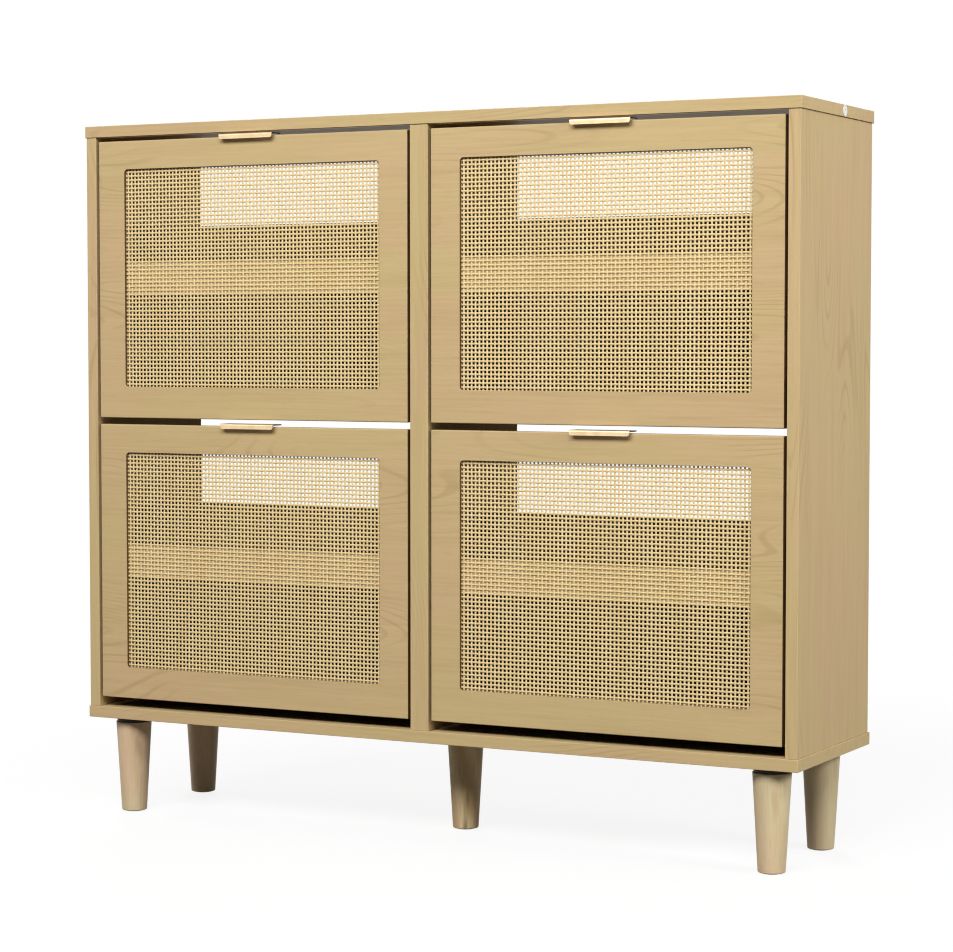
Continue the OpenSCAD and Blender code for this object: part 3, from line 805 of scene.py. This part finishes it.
def spun(profile, middle, rims):
    """A solid of revolution about an upright axis, with rounded rims."""
    shape = bmesh.new()
    outline = [shape.verts.new((middle.x + radius, middle.y, z)) for radius, z in profile]
    edges = [shape.edges.new(pair) for pair in zip(outline, outline[1:])]
    bmesh.ops.spin(
        shape, geom=outline + edges, cent=(middle.x, middle.y, 0), axis=(0, 0, 1),
        angle=math.tau, steps=LATHE_STEPS, use_merge=True)
    bmesh.ops.remove_doubles(shape, verts=shape.verts, dist=WELD)
    for z, width in rims:
        rim = [e for e in sharp_edges(shape, RIM_ANGLE)
               if all(abs(v.co.z - z) < TOUCH for v in e.verts)]
        bevel(shape, rim, width, RIM_STEPS)
    return shape


def leg_middles(low, high, radius):
    """Where the legs of one part stand: one alone in the middle, or one at each end."""
    alone = high.x - low.x < 3 * radius
    places = [(low.x + high.x) / 2] if alone else [low.x + radius, high.x - radius]
    return [Vector((x, (low.y + high.y) / 2, 0)) for x in places]


for node in LEG_NODES:
    low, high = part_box(node)
    foot, top = low.z, high.z
    radius = (high.y - low.y) / 2
    profile = [(0, foot), (FOOT_RADIUS, foot), (radius, top), (0, top)]
    rims = [(foot, FOOT_ROUND), (top, TOP_ROUND)]
    whole = bmesh.new()
    for middle in leg_middles(low, high, radius):
        leg = spun(profile, middle, rims)
        made = bpy.data.meshes.new("leg")
        leg.to_mesh(made)
        leg.free()
        whole.from_mesh(made)
        bpy.data.meshes.remove(made)
    shade(whole)
    wood = heart_wood if node == "centre_leg" else leg_wood
    piece = finished(whole, node + "_turned", CABINET, wood, [node])
    print(piece.name, len(piece.data.polygons), "faces")

# %% [markdown]
# ## Small parts
#
# Collars, glides, plates and caps keep the shape of the construction, with their sharp
# rims rounded so that they catch a highlight. Screws keep their shape as it is.

# %% Small parts
for node, material, slot, width in (
    ("leg_collars", black_plastic, "black_plastic", 0.6 * MM),
    ("leg_glides", grey_plastic, "grey_plastic", 0.4 * MM),
    ("pivot_plates", black_plastic, "black_plastic", 0.3 * MM),
    ("cover_caps", white_plastic, "white_plastic", 0.2 * MM),
):
    eased_everywhere(node, CABINET, material, width)
    print(node, "eased")

# %% Fittings that stay as they are
FITTINGS = {
    "leg_bolts": (steel, "steel"),
    "leg_inserts": (steel, "steel"),
    "panel_screws": (steel, "steel"),
    "plate_screws": (steel, "steel"),
    "connector_bolts": (steel, "steel"),
    "connector_drums": (white_plastic, "white_plastic"),
    "dowels": (beech, "dowel_wood"),
    **{drawer + "_drawer_screws": (steel, "steel") for drawer in DRAWERS},
}
for node, (material, slot) in FITTINGS.items():
    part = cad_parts[node]
    part.data.materials.clear()
    part.data.materials.append(material)
print(len(FITTINGS), "fittings dressed")

# %% [markdown]
# ## Studio
#
# A wide soft light in front and above does most of the work. A small one on the right keeps that
# side as bright as the doors, and weaker ones fill the left side and the open back, so that the
# inside stays dark. The floor and the backdrop look white only to the camera and in reflections.
# What they throw on the cabinet stays low, and the floor still shows the cabinet's soft shadow.

# %% Floor and backdrop
FLOOR_HALF = 6.0
FLOOR_SEEN = srgb(246, 246, 246)
FLOOR_LIT = srgb(84, 82, 80)
WHITE = (1, 1, 1, 1)
GLOW_NEAR = 0.86
GLOW_FROM = 0.6
GLOW_FULL = 1.8


def studio_share(nodes):
    """1 for the camera and for reflections, 0 for the light that falls on the object."""
    share = nodes.node("LightPath", output="Is Camera Ray")
    for ray in ("Is Glossy Ray", "Is Transmission Ray"):
        share = nodes.math("MAXIMUM", share, nodes.node("LightPath", output=ray))
    return share


def pale_floor():
    """A matt floor that turns into a white glow away from the cabinet."""
    finish = Finish("pale_floor")
    seen = studio_share(finish)
    finish.surface(base_color=mixed(seen, FLOOR_LIT, FLOOR_SEEN), roughness=0.9)
    matt = Value(finish, finish.shader.outputs[0])
    glow = finish.node("Emission", {}, {"Color": WHITE, "Strength": 1.0})
    x, _, y = grain_axes(finish, "x")
    radius = finish.math("SQRT", x * x + y * y)
    share = seen * fade(radius, GLOW_FROM, GLOW_FULL, GLOW_NEAR, 1.0)
    surface = finish.node("MixShader", {}, {0: share, 1: matt, 2: glow})
    finish.feed(finish.output.inputs["Surface"], surface)
    return finish.material


shape = bmesh.new()
bmesh.ops.create_grid(shape, x_segments=1, y_segments=1, size=FLOOR_HALF)
mesh = bpy.data.meshes.new("studio_floor")
shape.to_mesh(mesh)
shape.free()
mesh.materials.append(pale_floor())
floor = bpy.data.objects.new("studio_floor", mesh)
bpy.context.scene.collection.objects.link(floor)
print("floor", 2 * FLOOR_HALF, "m wide")

# %% World
AMBIENT = 0.012

world = bpy.data.worlds.new("studio")
bpy.context.scene.world = world
world.use_nodes = True
sky = Nodes(world.node_tree)
background = sky.tree.nodes["Background"]
sky.feed(background.inputs["Color"], WHITE)
sky.feed(background.inputs["Strength"], fade(studio_share(sky), 0, 1, AMBIENT, 1))
print("ambient light", AMBIENT)


# %% Lamps
def lamp(name, place, target, width, height, watts):
    """A soft rectangular light, aimed at a point."""
    light = bpy.data.lights.new(name, "AREA")
    light.shape = "RECTANGLE"
    light.size = width
    light.size_y = height
    light.energy = watts
    holder = bpy.data.objects.new(name, light)
    holder.location = place
    holder.rotation_euler = (Vector(target) - Vector(place)).to_track_quat("-Z", "Y").to_euler()
    bpy.context.scene.collection.objects.link(holder)


middle = (cad_box[0] + cad_box[1]) / 2
lamp("key_light", (0.5, -3.4, 3.1), middle, 4.6, 1.4, 230)
lamp("side_light", (3.0, -0.4, 1.5), middle, 1.0, 0.8, 51)
lamp("fill_light", (-3.0, 0.2, 0.95), middle, 1.2, 1.0, 14)
lamp("back_light", (-2.2, 3.0, 2.2), middle, 1.8, 1.4, 84)
print("four lamps aimed at", [round(c, 2) for c in middle])

# %% [markdown]
# ## Last look
#
# The size of the construction's box is printed.

# %% Measure and finish
print("construction", [round(c, 4) for c in cad_box[1] - cad_box[0]])
